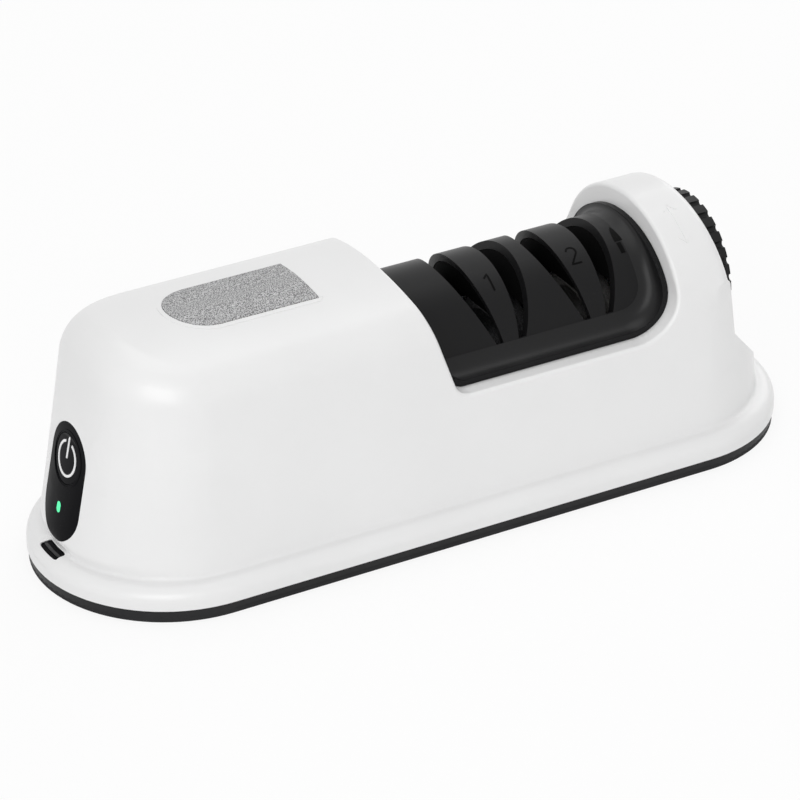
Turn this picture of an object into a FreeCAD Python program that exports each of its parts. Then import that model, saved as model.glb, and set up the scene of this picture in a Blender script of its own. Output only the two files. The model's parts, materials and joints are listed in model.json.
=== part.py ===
import FreeCAD, Part
import math
import os
import re
import Sketcher

# Rechargeable electric knife sharpener: a white moulded housing on a black base plate,
# a slotted black drum cover over two pairs of conical wheels, and a lock knob at the end.
# Frame: +X runs from the power button to the knob, +Y away from the user, +Z up.
# The origin is on the table, under the middle of the base. Sizes are in millimetres.

SIZES = {
    # Outline of the base and the heights of its layers
    "base_length": 206.0,
    "base_width": 70.0,
    "foot_drop": 0.6,
    "foot_radius": 6.0,
    "foot_high": 1.4,
    "foot_along": 78.0,
    "foot_across": 14.0,
    "plate_thick": 3.0,
    "plate_inset": 0.4,
    "plate_chamfer": 0.9,
    "lip_high": 2.0,
    "lip_thick": 1.2,
    "flange_high": 5.6,
    "flange_round": 3.6,
    "cove_round": 1.2,
    # Housing wall, roof and saddle
    "wall_inset": 4.7,
    "wall_draft": 4.0,
    "wall_thick": 2.4,
    "roof_top": 65.3,
    "crown_radius": 62.0,
    "shoulder_round": 11.0,
    "ledge_top": 37.6,
    "saddle_left": -1.7,
    "saddle_rake": 18.9,
    "saddle_right": 61.8,
    "saddle_round": 5.0,
    "corner_round": 12.0,
    "saddle_edge": 1.0,
    "window_half": 19.6,
    # Collar arch, its raked face and the cradle beyond it
    "axis_height": 40.2,
    "arch_high": 25.0,
    "collar_face": 78.6,
    "collar_rake": 6.8,
    "collar_round": 3.0,
    "cradle_radius": 27.0,
    # Drum cover and its knife slots, placed from the middle of each stage
    "cover_radius": 18.7,
    "cover_wall": 2.0,
    "skirt_half": 23.5,
    "skirt_thick": 1.5,
    "skirt_rise": 1.3,
    "flare_round": 3.4,
    "seat_gap": 0.15,
    "stage_one": 18.6,
    "stage_pitch": 25.2,
    "slot_foot": 41.3,
    "slot_tip": 0.6,
    "fore_left_top": -12.7,
    "fore_right_top": -6.7,
    "fore_left_foot": -3.5,
    "fore_right_foot": -2.1,
    "aft_left": 1.7,
    "aft_right_top": 8.3,
    "aft_right_foot": 3.2,
    # Grinding wheels on their shaft
    "shaft_height": 32.0,
    "shaft_radius": 2.5,
    "shaft_left": -20.6,
    "shaft_right": 60.8,
    "wheel_radius": 16.0,
    "wheel_nose": 10.0,
    "wheel_back": 2.5,
    "wheel_cone": 3.4,
    "hub_radius": 5.0,
    "hub_long": 2.5,
    "fore_wheel": -7.1,
    "aft_wheel": 6.1,
    "sleeve_radius": 3.6,
    "clip_radius": 4.6,
    "clip_thick": 0.8,
    # Gears, motor and bracket
    "gear_module": 0.7,
    "gear_teeth": 28.0,
    "pinion_teeth": 12.0,
    "gear_width": 5.0,
    "gear_left": -17.4,
    "backlash": 0.12,
    "running_gap": 0.05,
    "bush_radius": 4.5,
    "motor_height": 18.0,
    "motor_radius": 12.2,
    "motor_long": 31.0,
    "motor_shaft": 1.0,
    "motor_boss": 3.0,
    "bracket_left": -21.0,
    "bracket_thick": 3.0,
    "bracket_half": 14.0,
    "bracket_high": 39.0,
    "bracket_foot": 11.0,
    "bracket_web": 2.0,
    # Wheel tray
    "tray_left": -9.0,
    "tray_right": 60.2,
    "tray_radius": 18.0,
    "tray_wall": 1.6,
    "tray_end": 3.0,
    "tray_top": 34.6,
    "tray_post": 5.0,
    # Battery, its cradle and the control board
    "cell_radius": 9.2,
    "cell_long": 65.0,
    "cell_left": -86.5,
    "cell_height": 46.0,
    "cradle_wall": 1.6,
    "cradle_leg": 2.2,
    "leg_across": 15.0,
    "leg_left": -78.0,
    "leg_right": -34.0,
    "board_face": -90.0,
    "board_thick": 1.6,
    "board_half": 11.0,
    "board_foot": 5.0,
    "board_top": 40.0,
    # Panel, button, lens and charging port on the end wall
    "panel_half": 8.8,
    "panel_low": 12.3,
    "panel_high": 42.0,
    "panel_deep": 1.2,
    "panel_gap": 0.1,
    "button_radius": 6.2,
    "button_height": 33.2,
    "button_thick": 2.2,
    "button_gap": 0.15,
    "button_stem": 1.6,
    "button_travel": 0.5,
    "lens_radius": 0.9,
    "lens_half": 1.4,
    "lens_height": 20.5,
    "port_height": 8.1,
    "port_half": 4.5,
    "port_radius": 1.6,
    "port_left": -99.6,
    "port_right": -90.0,
    "port_shell": 0.3,
    # Grip pad on the roof
    "pad_right": -31.0,
    "pad_half": 9.8,
    "pad_long": 36.0,
    "pad_sink": 0.6,
    "pad_proud": 0.25,
    # Lock knob
    "knob_radius": 19.6,
    "knob_gap": 0.6,
    "knob_seat": 76.2,
    "knob_lift": 0.4,
    "knob_thick": 5.6,
    "knob_flutes": 28.0,
    "flute_radius": 0.9,
    "grip_half": 3.0,
    "grip_deep": 3.6,
    "grip_radius": 15.5,
    "spindle_radius": 4.0,
    "spindle_long": 6.0,
    "retainer_radius": 6.5,
    "retainer_thick": 1.2,
    # Screws
    "screw_radius": 1.1,
    "screw_head": 2.3,
    "head_high": 1.5,
    "boss_radius": 3.2,
    "boss_high": 12.0,
    "boss_left": -64.0,
    "boss_right": 70.0,
    "boss_across": 24.4,
}

doc = FreeCAD.newDocument("KnifeSharpener")
V = FreeCAD.Vector
sheet = doc.addObject("Spreadsheet::Sheet", "Sizes")
for row, (alias, value) in enumerate(SIZES.items(), start=1):
    sheet.set("A%d" % row, alias)
    sheet.set("B%d" % row, repr(value))
    sheet.setAlias("B%d" % row, alias)
doc.recompute()

# Expressions that several pieces share
END = "(base_length - base_width) / 2"
PLATE_TOP = "(foot_drop + plate_thick)"
FLANGE_TOP = "(foot_drop + plate_thick + flange_high)"
WALL_RADIUS = "(base_width / 2 - wall_inset)"
DRAFT = "tan(wall_draft * 1 deg)"
RAKE = "(saddle_rake * 1 deg)"
ALONG_X = FreeCAD.Rotation(V(0, 1, 0), 90)
FACING_Y = FreeCAD.Rotation(V(1, 0, 0), 90)
FACING_X = FreeCAD.Rotation(V(1, 1, 1), 120)
nodes = []


def size(alias):
    """The value of a cell, for the places that work in numbers."""
    return float(sheet.get(alias))


def bind(thing, prop, text):
    """Binds a property of an object to an expression on the sheet's aliases."""
    words = re.sub(r"\b[a-z]+_[a-z_]+\b|\bbacklash\b", r"Sizes.\g<0>", str(text))
    thing.setExpression(prop, words)


def place(thing, x, y, z, turn=None):
    """Gives an object its direction, and binds its position to three expressions."""
    thing.Placement = FreeCAD.Placement(V(0, 0, 0), turn or FreeCAD.Rotation())
    for axis, text in zip("xyz", (x, y, z)):
        bind(thing, ".Placement.Base." + axis, text)
    return thing


def node(label, thing):
    """Names a finished sub-part and keeps it for the checks and the files."""
    thing.Label = label
    nodes.append(thing)
    return thing


# Shapes that every piece is made from

def box(name, x, y, z, long, wide, high):
    """A box from its lowest corner."""
    thing = doc.addObject("Part::Box", name)
    bind(thing, "Length", long)
    bind(thing, "Width", wide)
    bind(thing, "Height", high)
    return place(thing, x, y, z)


def slab(name, x, half, z, long, high):
    """A box that reaches the same way to both sides of the middle plane."""
    return box(name, x, "-(%s)" % half, z, long, "2 * (%s)" % half, high)


def rod(name, radius, long, x, y, z, turn=ALONG_X):
    """A cylinder that starts at a point, along X unless it is turned another way."""
    thing = doc.addObject("Part::Cylinder", name)
    bind(thing, "Radius", radius)
    bind(thing, "Height", long)
    return place(thing, x, y, z, turn)


def post(name, radius, high, x, y, z):
    """A cylinder that stands up from a point."""
    return rod(name, radius, high, x, y, z, FreeCAD.Rotation())


def cone(name, start, finish, long, x, y, z):
    """A truncated cone along X, with its two radii in order."""
    thing = doc.addObject("Part::Cone", name)
    bind(thing, "Radius1", start)
    bind(thing, "Radius2", finish)
    bind(thing, "Height", long)
    return place(thing, x, y, z, ALONG_X)


def cut(name, base, *tools):
    """The base less each tool in turn."""
    for count, tool in enumerate(tools, start=1):
        step = doc.addObject("Part::Cut", "%s%d" % (name, count))
        step.Base = base
        step.Tool = tool
        base = step
    return base


def fuse(name, *shapes):
    """Several shapes as one."""
    thing = doc.addObject("Part::MultiFuse", name)
    thing.Shapes = list(shapes)
    thing.Refine = True
    return thing


def common(name, *shapes):
    """What the shapes share."""
    thing = doc.addObject("Part::MultiCommon", name)
    thing.Shapes = list(shapes)
    return thing


def group(name, *shapes):
    """Separate solids that share one node."""
    thing = doc.addObject("Part::Compound", name)
    thing.Links = list(shapes)
    return thing


def middle(edge):
    """The point half way along an edge."""
    return edge.valueAt((edge.FirstParameter + edge.LastParameter) / 2)


def rounded(name, base, radius, wanted):
    """Rounds the edges of the base whose middle point is wanted."""
    doc.recompute()
    chosen = [n for n, edge in enumerate(base.Shape.Edges, start=1) if wanted(middle(edge))]
    thing = doc.addObject("Part::Fillet", name)
    thing.Base = base
    thing.Edges = [(n, radius, radius) for n in chosen]
    doc.recompute()
    if not chosen or not thing.Shape.isValid():
        raise ValueError(name + " has no sound rounding")
    return thing


def outline(name, points, turn, x="0", y="0", z="0"):
    """A closed sketch whose corners are bound to pairs of expressions."""
    sketch = doc.addObject("Sketcher::SketchObject", name)
    count = len(points)
    start = [V(math.cos(math.tau * n / count), math.sin(math.tau * n / count), 0) for n in range(count)]
    for n in range(count):
        sketch.addGeometry(Part.LineSegment(start[n], start[(n + 1) % count]), False)
    for n in range(count):
        sketch.addConstraint(Sketcher.Constraint("Coincident", n, 2, (n + 1) % count, 1))
    for n, point in enumerate(points):
        for kind, text in zip(("DistanceX", "DistanceY"), point):
            index = sketch.addConstraint(Sketcher.Constraint(kind, -1, 1, n, 1, 1.0))
            bind(sketch, "Constraints[%d]" % index, text)
    return place(sketch, x, y, z, turn)


def stadium(name, radius, z):
    """The sketch of the base's long round-ended outline, at another radius and height."""
    sketch = doc.addObject("Sketcher::SketchObject", name)
    half, end = math.pi / 2, V(2, 0, 0)
    sketch.addGeometry(Part.LineSegment(V(-2, -1, 0), V(2, -1, 0)), False)
    sketch.addGeometry(Part.ArcOfCircle(Part.Circle(end, V(0, 0, 1), 1), -half, half), False)
    sketch.addGeometry(Part.LineSegment(V(2, 1, 0), V(-2, 1, 0)), False)
    sketch.addGeometry(Part.ArcOfCircle(Part.Circle(-end, V(0, 0, 1), 1), half, 3 * half), False)
    for n in range(4):
        sketch.addConstraint(Sketcher.Constraint("Tangent", n, 2, (n + 1) % 4, 1))
    sketch.addConstraint(Sketcher.Constraint("Horizontal", 0))
    sketch.addConstraint(Sketcher.Constraint("Equal", 1, 3))
    sketch.addConstraint(Sketcher.Constraint("Symmetric", 1, 3, 3, 3, -1, 1))
    span = sketch.addConstraint(Sketcher.Constraint("DistanceX", 3, 3, 1, 3, 4.0))
    bind(sketch, "Constraints[%d]" % span, "base_length - base_width")
    arc = sketch.addConstraint(Sketcher.Constraint("Radius", 1, 1.0))
    bind(sketch, "Constraints[%d]" % arc, radius)
    return place(sketch, "0", "0", z)


def prism(name, sketch, long, both=False):
    """A sketch pushed out square to itself, one way or to both sides."""
    thing = doc.addObject("Part::Extrusion", name)
    thing.Base = sketch
    thing.DirMode = "Normal"
    thing.Solid = True
    thing.Symmetric = both
    bind(thing, "LengthFwd", long)
    return thing


def layer(name, radius, z, high):
    """A flat layer in the outline of the base."""
    return prism(name, stadium(name + "Plan", radius, z), high)


# Housing: every form is made twice, at the skin and drawn in by the wall for the hollow

def walls(name, inset, round_over):
    """The drafted wall under its crowned roof."""
    upright = layer(name + "Upright", "%s - %s" % (WALL_RADIUS, inset), PLATE_TOP, "roof_top")
    bind(upright, "TaperAngle", "-wall_draft")
    crown = rod(name + "Crown", "crown_radius - %s" % inset, "base_length", "-base_length / 2", "0",
                "roof_top - crown_radius")
    roof = size("roof_top")
    return rounded(name + "Shoulder", common(name + "Block", upright, crown), round_over,
                   lambda point: point.z > roof - 16)


def saddle(name, grow, near_round, far_round):
    """The gap over the ledge, from the raked face to the collar."""
    floor = "(ledge_top - %s)" % grow
    sky = "(roof_top + 10)"
    left = "saddle_left - {0} / cos({1}) + (ledge_top - {2}) * tan({1})"
    right = "saddle_right + %s" % grow
    corners = [(left.format(grow, RAKE, floor), floor), (right, floor), (right, sky),
               (left.format(grow, RAKE, sky), sky)]
    block = prism(name + "Block", outline(name + "Profile", corners, FACING_Y), "base_width + 20", True)
    low = size("ledge_top") + 4
    near = rounded(name + "Near", block, near_round, lambda point: point.z < low and point.x < 10
                   and abs(point.y) < 1)
    return rounded(name + "Far", near, far_round, lambda point: point.z < low and point.x > 40
                   and abs(point.y) < 1)


def over_arch(name, inset):
    """Everything above the collar's arch, whose sides run on into the drafted wall."""
    arch = doc.addObject("Part::Ellipse", name + "Curve")
    bind(arch, "MajorRadius", "%s - %s - (axis_height - %s) * %s" % (WALL_RADIUS, inset, PLATE_TOP, DRAFT))
    bind(arch, "MinorRadius", "arch_high - %s" % inset)
    place(arch, "saddle_right - 6", "0", "axis_height", FACING_X)
    inside = prism(name + "Inside", arch, "base_length / 2")
    above = slab(name + "Above", "saddle_right - 5", "base_width", "axis_height", "base_length / 3", "roof_top")
    return cut(name, above, inside)


def beyond(name, face_low, face_high, radius):
    """The open space past the collar's face, round at the bottom like the knob."""
    corners = [(face_low, "0"), ("base_length", "0"), ("base_length", "2 * axis_height"),
               (face_high, "2 * axis_height")]
    right = prism(name + "Right", outline(name + "Profile", corners, FACING_Y), "2 * base_width", True)
    drum = rod(name + "Drum", radius, "base_length", "0", "0", "axis_height")
    above = slab(name + "Above", "0", "base_width", "axis_height", "base_length * 2", "roof_top")
    return common(name, right, fuse(name + "Open", drum, above))


def housing_form():
    """The outside of the housing, solid."""
    flange = layer("Flange", "base_width / 2", PLATE_TOP, "flange_high")
    top = size("foot_drop") + size("plate_thick") + size("flange_high")
    brim = rounded("FlangeBrim", flange, size("flange_round"), lambda point: point.z > top - 0.01)
    block = walls("Skin", "0", size("shoulder_round"))
    reach = size("base_width") / 2 - size("flange_round") - 0.1
    coved = rounded("Cove", fuse("Body", brim, block), size("cove_round"),
                    lambda point: abs(point.z - top) < 0.01 and abs(point.y) < reach
                    and abs(point.x) < size("base_length") / 2 - size("flange_round") - 0.1)
    rake = "tan(collar_rake * 1 deg) * axis_height"
    cut_out = cut("Form", coved,
                  saddle("SaddleSkin", "0", size("saddle_round"), size("corner_round")),
                  over_arch("ArchSkin", "0"),
                  beyond("EndSkin", "collar_face + " + rake, "collar_face - " + rake, "cradle_radius"),
                  rod("KnobRecess", "knob_radius + knob_gap", "base_length", "knob_seat", "0", "axis_height"))
    face_top = size("collar_face") - math.tan(math.radians(size("collar_rake"))) * size("arch_high")
    roof = size("axis_height") + size("knob_radius") + 1.5
    collar = rounded("CollarRim", cut_out, size("collar_round"),
                     lambda point: abs(point.x - face_top) < 0.3 and point.z > roof)
    right = size("saddle_right")
    return rounded("SaddleRim", collar, size("saddle_edge"),
                   lambda point: abs(point.x - right) < 0.3 and point.z > roof)


def hollow_form():
    """The space inside the housing, a wall's thickness within its skin."""
    wall = size("wall_thick")
    block = walls("Hollow", "wall_thick", size("shoulder_round") - wall)
    space = cut("Space", block,
                saddle("SaddleHollow", "wall_thick", size("saddle_round") + wall, size("corner_round") + wall),
                over_arch("ArchHollow", "wall_thick"),
                beyond("EndHollow", "knob_seat - wall_thick", "knob_seat - wall_thick",
                       "cradle_radius + wall_thick"))
    rim = layer("RimHollow", "base_width / 2 - wall_thick", PLATE_TOP, "flange_high - wall_thick")
    return fuse("Inside", space, rim)


def capsule(name, half, low, high, x, long):
    """An upright round-ended block that runs along X."""
    width = "2 * (%s)" % half
    trunk = box(name + "Trunk", x, "-(%s)" % half, "%s + %s" % (low, half), long, width,
                "%s - %s - %s" % (high, low, width))
    foot = rod(name + "Foot", half, long, x, "0", "%s + %s" % (low, half))
    head = rod(name + "Head", half, long, x, "0", "%s - %s" % (high, half))
    return fuse(name, trunk, foot, head)


def wall_skin(name, inset):
    """The drafted wall alone, drawn in by an inset, for pieces that follow it."""
    upright = layer(name, "%s - %s" % (WALL_RADIUS, inset), PLATE_TOP, "roof_top")
    bind(upright, "TaperAngle", "-wall_draft")
    return upright


def flat_capsule(name, grow, x, long):
    """The round-ended charging opening, wider than it is high."""
    radius = "(port_radius + %s)" % grow
    trunk = slab(name + "Trunk", x, "port_half - port_radius", "port_height - " + radius, long, "2 * " + radius)
    ends = [rod(name + side, radius, long, x, y, "port_height") for side, y in
            (("Near", "port_radius - port_half"), ("Far", "port_half - port_radius"))]
    return fuse(name, trunk, *ends)


def pad_outline(name, grow):
    """The grip pad's outline seen from above: square to the right, round to the left."""
    radius = "(pad_half + %s)" % grow
    middle_x = "pad_right - pad_long + pad_half"
    square = slab(name + "Square", middle_x, radius, "ledge_top",
                  "pad_long - pad_half + %s" % grow, "roof_top")
    return fuse(name, square, post(name + "Round", radius, "roof_top", middle_x, "0", "ledge_top"))


def roof_layer(name, rise):
    """The crown's round surface, raised over the roof or sunk below it."""
    return rod(name, "crown_radius + " + rise, "base_length", "-base_length / 2", "0",
               "roof_top - crown_radius")


def boss_places():
    """The four places where a screw comes up from the base plate."""
    return [(x, y) for x in ("boss_left", "boss_right") for y in ("-boss_across", "boss_across")]


def foot_places():
    """The four places of the rubber feet."""
    return [(x, y) for x in ("-foot_along", "foot_along") for y in ("-foot_across", "foot_across")]


def button_axis(name, radius, long, start):
    """A rod square to the end wall at the button's height, from a distance inside the skin."""
    turn = FreeCAD.Rotation(V(0, 1, 0), 90 + size("wall_draft"))
    x = "-(%s + %s - (button_height - %s) * %s) + (%s) * cos(wall_draft * 1 deg)"
    z = "button_height - (%s) * sin(wall_draft * 1 deg)"
    return rod(name, radius, long, x % (END, WALL_RADIUS, PLATE_TOP, DRAFT, start), "0", z % start, turn)


def housing_shell():
    """The white moulding that everything else sits in."""
    lugs = [post("Boss%d" % n, "boss_radius", "boss_high", x, y, PLATE_TOP)
            for n, (x, y) in enumerate(boss_places())]
    body = fuse("ShellBosses", cut("Shell", housing_form(), hollow_form()), *lugs)
    pilots = [post("Pilot%d" % n, "screw_radius", "boss_high - 1", x, y, PLATE_TOP)
              for n, (x, y) in enumerate(boss_places())]
    window = slab("Window", "0", "window_half", "ledge_top - 2 * wall_thick",
                  "saddle_right - 2 * wall_thick", "3 * wall_thick")
    relief = rod("SleeveRelief", "sleeve_radius + 1", "base_length / 6", "gear_left", "0", "shaft_height")
    panel = cut("PanelSeat", capsule("PanelHole", "(panel_half + panel_gap)", "(panel_low - panel_gap)",
                                     "(panel_high + panel_gap)", "-base_length / 2", "base_length / 8"),
                wall_skin("PanelFloor", "panel_deep"))
    pad = cut("PadSeat", pad_outline("PadHole", "panel_gap"), roof_layer("PadFloor", "-pad_sink"))
    button = button_axis("ButtonHole", "button_radius + button_gap", "3 * wall_thick", "0")
    lens = lens_rod("LensHole", "panel_gap / 2")
    port = flat_capsule("PortHole", "panel_gap", "-base_length / 2", "base_length / 20")
    spindle = rod("SpindleHole", "spindle_radius + running_gap", "2 * wall_thick", "knob_seat - 1.5 * wall_thick",
                  "0", "axis_height")
    return cut("Housing", body, window, relief, panel, pad, button, lens, port, spindle, *pilots)


def lens_rod(name, grow):
    """The status lens as an upright slip that runs in through the wall."""
    return capsule(name, "(lens_radius + %s)" % grow, "(lens_height - lens_half - %s)" % grow,
                   "(lens_height + lens_half + %s)" % grow, "-base_length / 2", "base_length / 2 + board_face")


def base_plate():
    """The black plate under the housing, with a lip that locates it."""
    radius = "base_width / 2 - plate_inset"
    low = size("foot_drop") + 0.01
    flat = rounded("PlateEdge", layer("Plate", radius, "foot_drop", "plate_thick"), size("plate_chamfer"),
                   lambda point: point.z < low)
    outside = "base_width / 2 - wall_thick - seat_gap"
    lip = cut("Lip", layer("LipOutside", outside, PLATE_TOP, "lip_high"),
              layer("LipInside", outside + " - lip_thick", PLATE_TOP, "lip_high"))
    sockets = [post("FootSocket%d" % n, "foot_radius", "foot_high - foot_drop", x, y, "foot_drop")
               for n, (x, y) in enumerate(foot_places())]
    holes = []
    for n, (x, y) in enumerate(boss_places()):
        holes.append(post("PlateHole%d" % n, "screw_radius + seat_gap", "2 * plate_thick", x, y, "0"))
        holes.append(post("HeadHole%d" % n, "screw_head + seat_gap", "head_high + seat_gap", x, y, "foot_drop"))
    rails = [box("Rail%d" % n, "board_face - board_thick", y, PLATE_TOP, "3 * board_thick", "board_half / 3",
                 "2 * board_thick") for n, y in enumerate(("-board_half", "board_half * 2 / 3"))]
    slot = slab("BoardSlot", "board_face", "board_half", "board_foot", "board_thick", "board_top")
    return cut("BasePlate", fuse("PlateBody", flat, lip, *rails), slot, *(sockets + holes))


def rubber_feet():
    """Four round feet in the sockets of the base plate."""
    return group("Feet", *[post("Foot%d" % n, "foot_radius", "foot_high", x, y, "0")
                           for n, (x, y) in enumerate(foot_places())])


def base_screws():
    """Four screws, heads sunk in the base plate and shanks in the housing's bosses."""
    screws = []
    for n, (x, y) in enumerate(boss_places()):
        head = post("ScrewHead%d" % n, "screw_head", "head_high", x, y, "foot_drop + seat_gap")
        shank = post("ScrewShank%d" % n, "screw_radius", "boss_high", x, y, "foot_drop + seat_gap")
        screws.append(fuse("Screw%d" % n, head, shank))
    return group("Screws", *screws)


def grip_pad():
    """The speckled pad let into the roof."""
    sheet_top = common("PadSheet", pad_outline("PadBody", "0"), roof_layer("PadTop", "pad_proud"))
    return cut("Pad", sheet_top, roof_layer("PadUnder", "-pad_sink"))


def control_panel():
    """The black capsule on the end wall, with holes for the button and the lens."""
    body = common("PanelBody", capsule("PanelBlock", "panel_half", "panel_low", "panel_high",
                                       "-base_length / 2", "base_length / 8"), wall_skin("PanelTop", "0"))
    return cut("Panel", body, wall_skin("PanelUnder", "panel_deep"),
               button_axis("PanelButtonHole", "button_radius + button_gap", "4 * wall_thick", "-wall_thick"),
               lens_rod("PanelLensHole", "0"))


def power_button():
    """The round cap, square to the end wall, with the stem that presses the switch."""
    cap = common("ButtonCap", button_axis("ButtonBlock", "button_radius", "wall_thick + button_thick",
                                          "-wall_thick"), wall_skin("ButtonTop", "button_gap"))
    stem = button_axis("ButtonStem", "button_stem", "button_thick / 2", "button_thick")
    return fuse("Button", cap, stem)


def status_lens():
    """The light slip, flush with the panel and reaching the board's lamp."""
    return common("Lens", lens_rod("LensBlock", "0"), wall_skin("LensTop", "0"))


def usb_port():
    """The charging socket: a flat round-ended shell with its tongue, on the board."""
    long = "port_right - port_left"
    outside = flat_capsule("PortOutside", "0", "port_left", long)
    inside = flat_capsule("PortInside", "-port_shell", "port_left", long + " - 2 * port_shell")
    tongue = slab("PortTongue", "port_left + 1", "port_half - 2 * port_radius", "port_height - port_shell",
                  long + " - 1 - port_shell", "2 * port_shell")
    return fuse("Port", cut("PortShell", outside, inside), tongue)


def control_board():
    """The upright circuit board in the rails of the base plate."""
    return slab("Board", "board_face", "board_half", "board_foot", "board_thick", "board_top - board_foot")


def tact_switch():
    """The switch behind the power button."""
    high = "4 * board_thick"
    body = slab("SwitchBody", "board_face - board_thick", "2 * board_thick",
                "button_height - 2 * board_thick", "board_thick", high)
    tip = rod("SwitchTip", "button_stem", "board_thick / 4", "board_face - 1.25 * board_thick", "0",
              "button_height")
    return fuse("Switch", body, tip)


def battery_cell():
    """The rechargeable cell, with its raised pole."""
    can = rod("CellCan", "cell_radius", "cell_long - 1", "cell_left + 1", "0", "cell_height")
    pole = rod("CellPole", "cell_radius / 3", "1", "cell_left", "0", "cell_height")
    return fuse("Cell", can, pole)


def battery_cradle():
    """The half trough that holds the cell over the motor, on four legs."""
    long = "cell_long - 2 * cradle_wall"
    left = "cell_left + cradle_wall"
    trough = rod("CradleOutside", "cell_radius + cradle_wall", long, left, "0", "cell_height")
    deck = [slab("Deck" + side, "leg_%s - cradle_leg" % side, "leg_across + cradle_leg",
                 "cell_height - cell_radius", "2 * cradle_leg", "cradle_leg") for side in ("left", "right")]
    legs = [post("Leg%d%s" % (n, side), "cradle_leg", "cell_height - cell_radius + cradle_leg / 2 - " + PLATE_TOP,
                 "leg_" + side, y, PLATE_TOP)
            for side in ("left", "right") for n, y in enumerate(("-leg_across", "leg_across"))]
    seat = rod("CradleInside", "cell_radius", "cell_long", "cell_left", "0", "cell_height")
    above = slab("CradleAbove", "cell_left * 2", "2 * cell_radius", "cell_height - cell_radius / 3",
                 "cell_long * 3", "roof_top")
    return cut("Cradle", fuse("CradleBody", trough, *(deck + legs)), seat, above)


def motor():
    """The motor's can, with its front boss and a bore for the shaft."""
    can = rod("MotorCan", "motor_radius", "motor_long", "bracket_left - motor_long", "0", "motor_height")
    boss = rod("MotorBoss", "motor_boss", "motor_long + bracket_thick / 2", "bracket_left - motor_long", "0",
               "motor_height")
    bore = rod("MotorBore", "motor_shaft + running_gap", "2 * motor_long", "bracket_left - motor_long * 0.9",
               "0", "motor_height")
    return cut("Motor", fuse("MotorBody", can, boss), bore)


def bracket_screw_places():
    """The two screws beside the motor's shaft."""
    return [(n, y) for n, y in enumerate(("-motor_radius * 0.65", "motor_radius * 0.65"))]


def motor_bracket():
    """The upright plate that carries the motor and the shaft's left bush."""
    plate = slab("BracketPlate", "bracket_left", "bracket_half", PLATE_TOP, "bracket_thick",
                 "bracket_high - " + PLATE_TOP)
    foot = slab("BracketFoot", "bracket_left", "bracket_half", PLATE_TOP, "bracket_foot", "bracket_web")
    webs = [box("Web%d" % n, "bracket_left + bracket_thick / 2", y, PLATE_TOP, "bracket_foot - bracket_thick / 2",
                "bracket_web", "motor_height / 2")
            for n, y in enumerate(("-bracket_half", "bracket_half - bracket_web"))]
    holes = [rod("BracketScrewHole%d" % n, "screw_radius", "2 * bracket_thick", "bracket_left - 1", y,
                 "motor_height") for n, y in bracket_screw_places()]
    boss = rod("BracketBossHole", "motor_boss", "2 * bracket_thick", "bracket_left - 1", "0", "motor_height")
    bush = rod("BracketBushHole", "bush_radius", "2 * bracket_thick", "bracket_left - 1", "0", "shaft_height")
    return cut("Bracket", fuse("BracketBody", plate, foot, *webs), boss, bush, *holes)


def motor_screws():
    """Two screws that hold the motor's face to the bracket."""
    screws = []
    for n, y in bracket_screw_places():
        head = rod("MotorScrewHead%d" % n, "screw_head", "head_high / 2", "bracket_left + bracket_thick", y,
                   "motor_height")
        shank = rod("MotorScrewShank%d" % n, "screw_radius", "bracket_thick + head_high / 2", "bracket_left", y,
                    "motor_height")
        screws.append(fuse("MotorScrew%d" % n, head, shank))
    return group("MotorScrews", *screws)


def shaft_bush(name, x, long):
    """A plain bearing that the shaft turns in."""
    return cut(name, rod(name + "Body", "bush_radius", long, x, "0", "shaft_height"),
               rod(name + "Bore", "shaft_radius + running_gap", long, x, "0", "shaft_height"))


def wheel_tray():
    """The half-round tray under the wheels, which catches the dust and carries the right bush."""
    long = "tray_right - tray_left"
    outside = rod("TrayOutside", "tray_radius + tray_wall", long, "tray_left", "0", "shaft_height")
    inside = rod("TrayInside", "tray_radius", long + " - tray_end - tray_wall", "tray_left + tray_wall", "0",
                 "shaft_height")
    sides = slab("TraySides", "tray_left", "tray_radius + tray_wall", "shaft_height", long,
                 "tray_top - shaft_height")
    space = slab("TraySpace", "tray_left + tray_wall", "tray_radius", "shaft_height",
                 long + " - tray_end - tray_wall", "tray_top - shaft_height")
    posts = [post("TrayPost%d" % n, "tray_post", "shaft_height - tray_radius - " + PLATE_TOP, x, "0", PLATE_TOP)
             for n, x in enumerate(("tray_left + 2 * tray_post", "tray_right - 2 * tray_post"))]
    above = slab("TrayAbove", "tray_left", "2 * tray_radius", "tray_top", long, "roof_top")
    left = rod("TrayShaftHole", "sleeve_radius + 1", "2 * tray_wall", "tray_left - tray_wall / 2", "0",
               "shaft_height")
    right = rod("TrayBushHole", "bush_radius", "2 * tray_end", "tray_right - 1.5 * tray_end", "0",
                "shaft_height")
    body = cut("TrayTrough", fuse("TraySolid", outside, sides), inside, space, above)
    return cut("Tray", fuse("TrayBody", body, *posts), left, right)


# Drum cover: a round hood over the wheels, a skirt that lies on the ledge, and four slots

def over_ledge(name, deep):
    """The space in the saddle, lifted off its faces by a depth."""
    rounds = [size(alias) - deep for alias in ("saddle_round", "corner_round")]
    return saddle(name, "(-%g)" % deep, *rounds)


def knife_slot(name, stage, corners):
    """A slot's wedge, open at the top, from its corners placed off the stage's middle."""
    return prism(name + "Block", outline(name, [("%s + %s" % (stage, x), z) for x, z in corners], FACING_Y),
                 "2 * cover_radius + 8", True)


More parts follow.
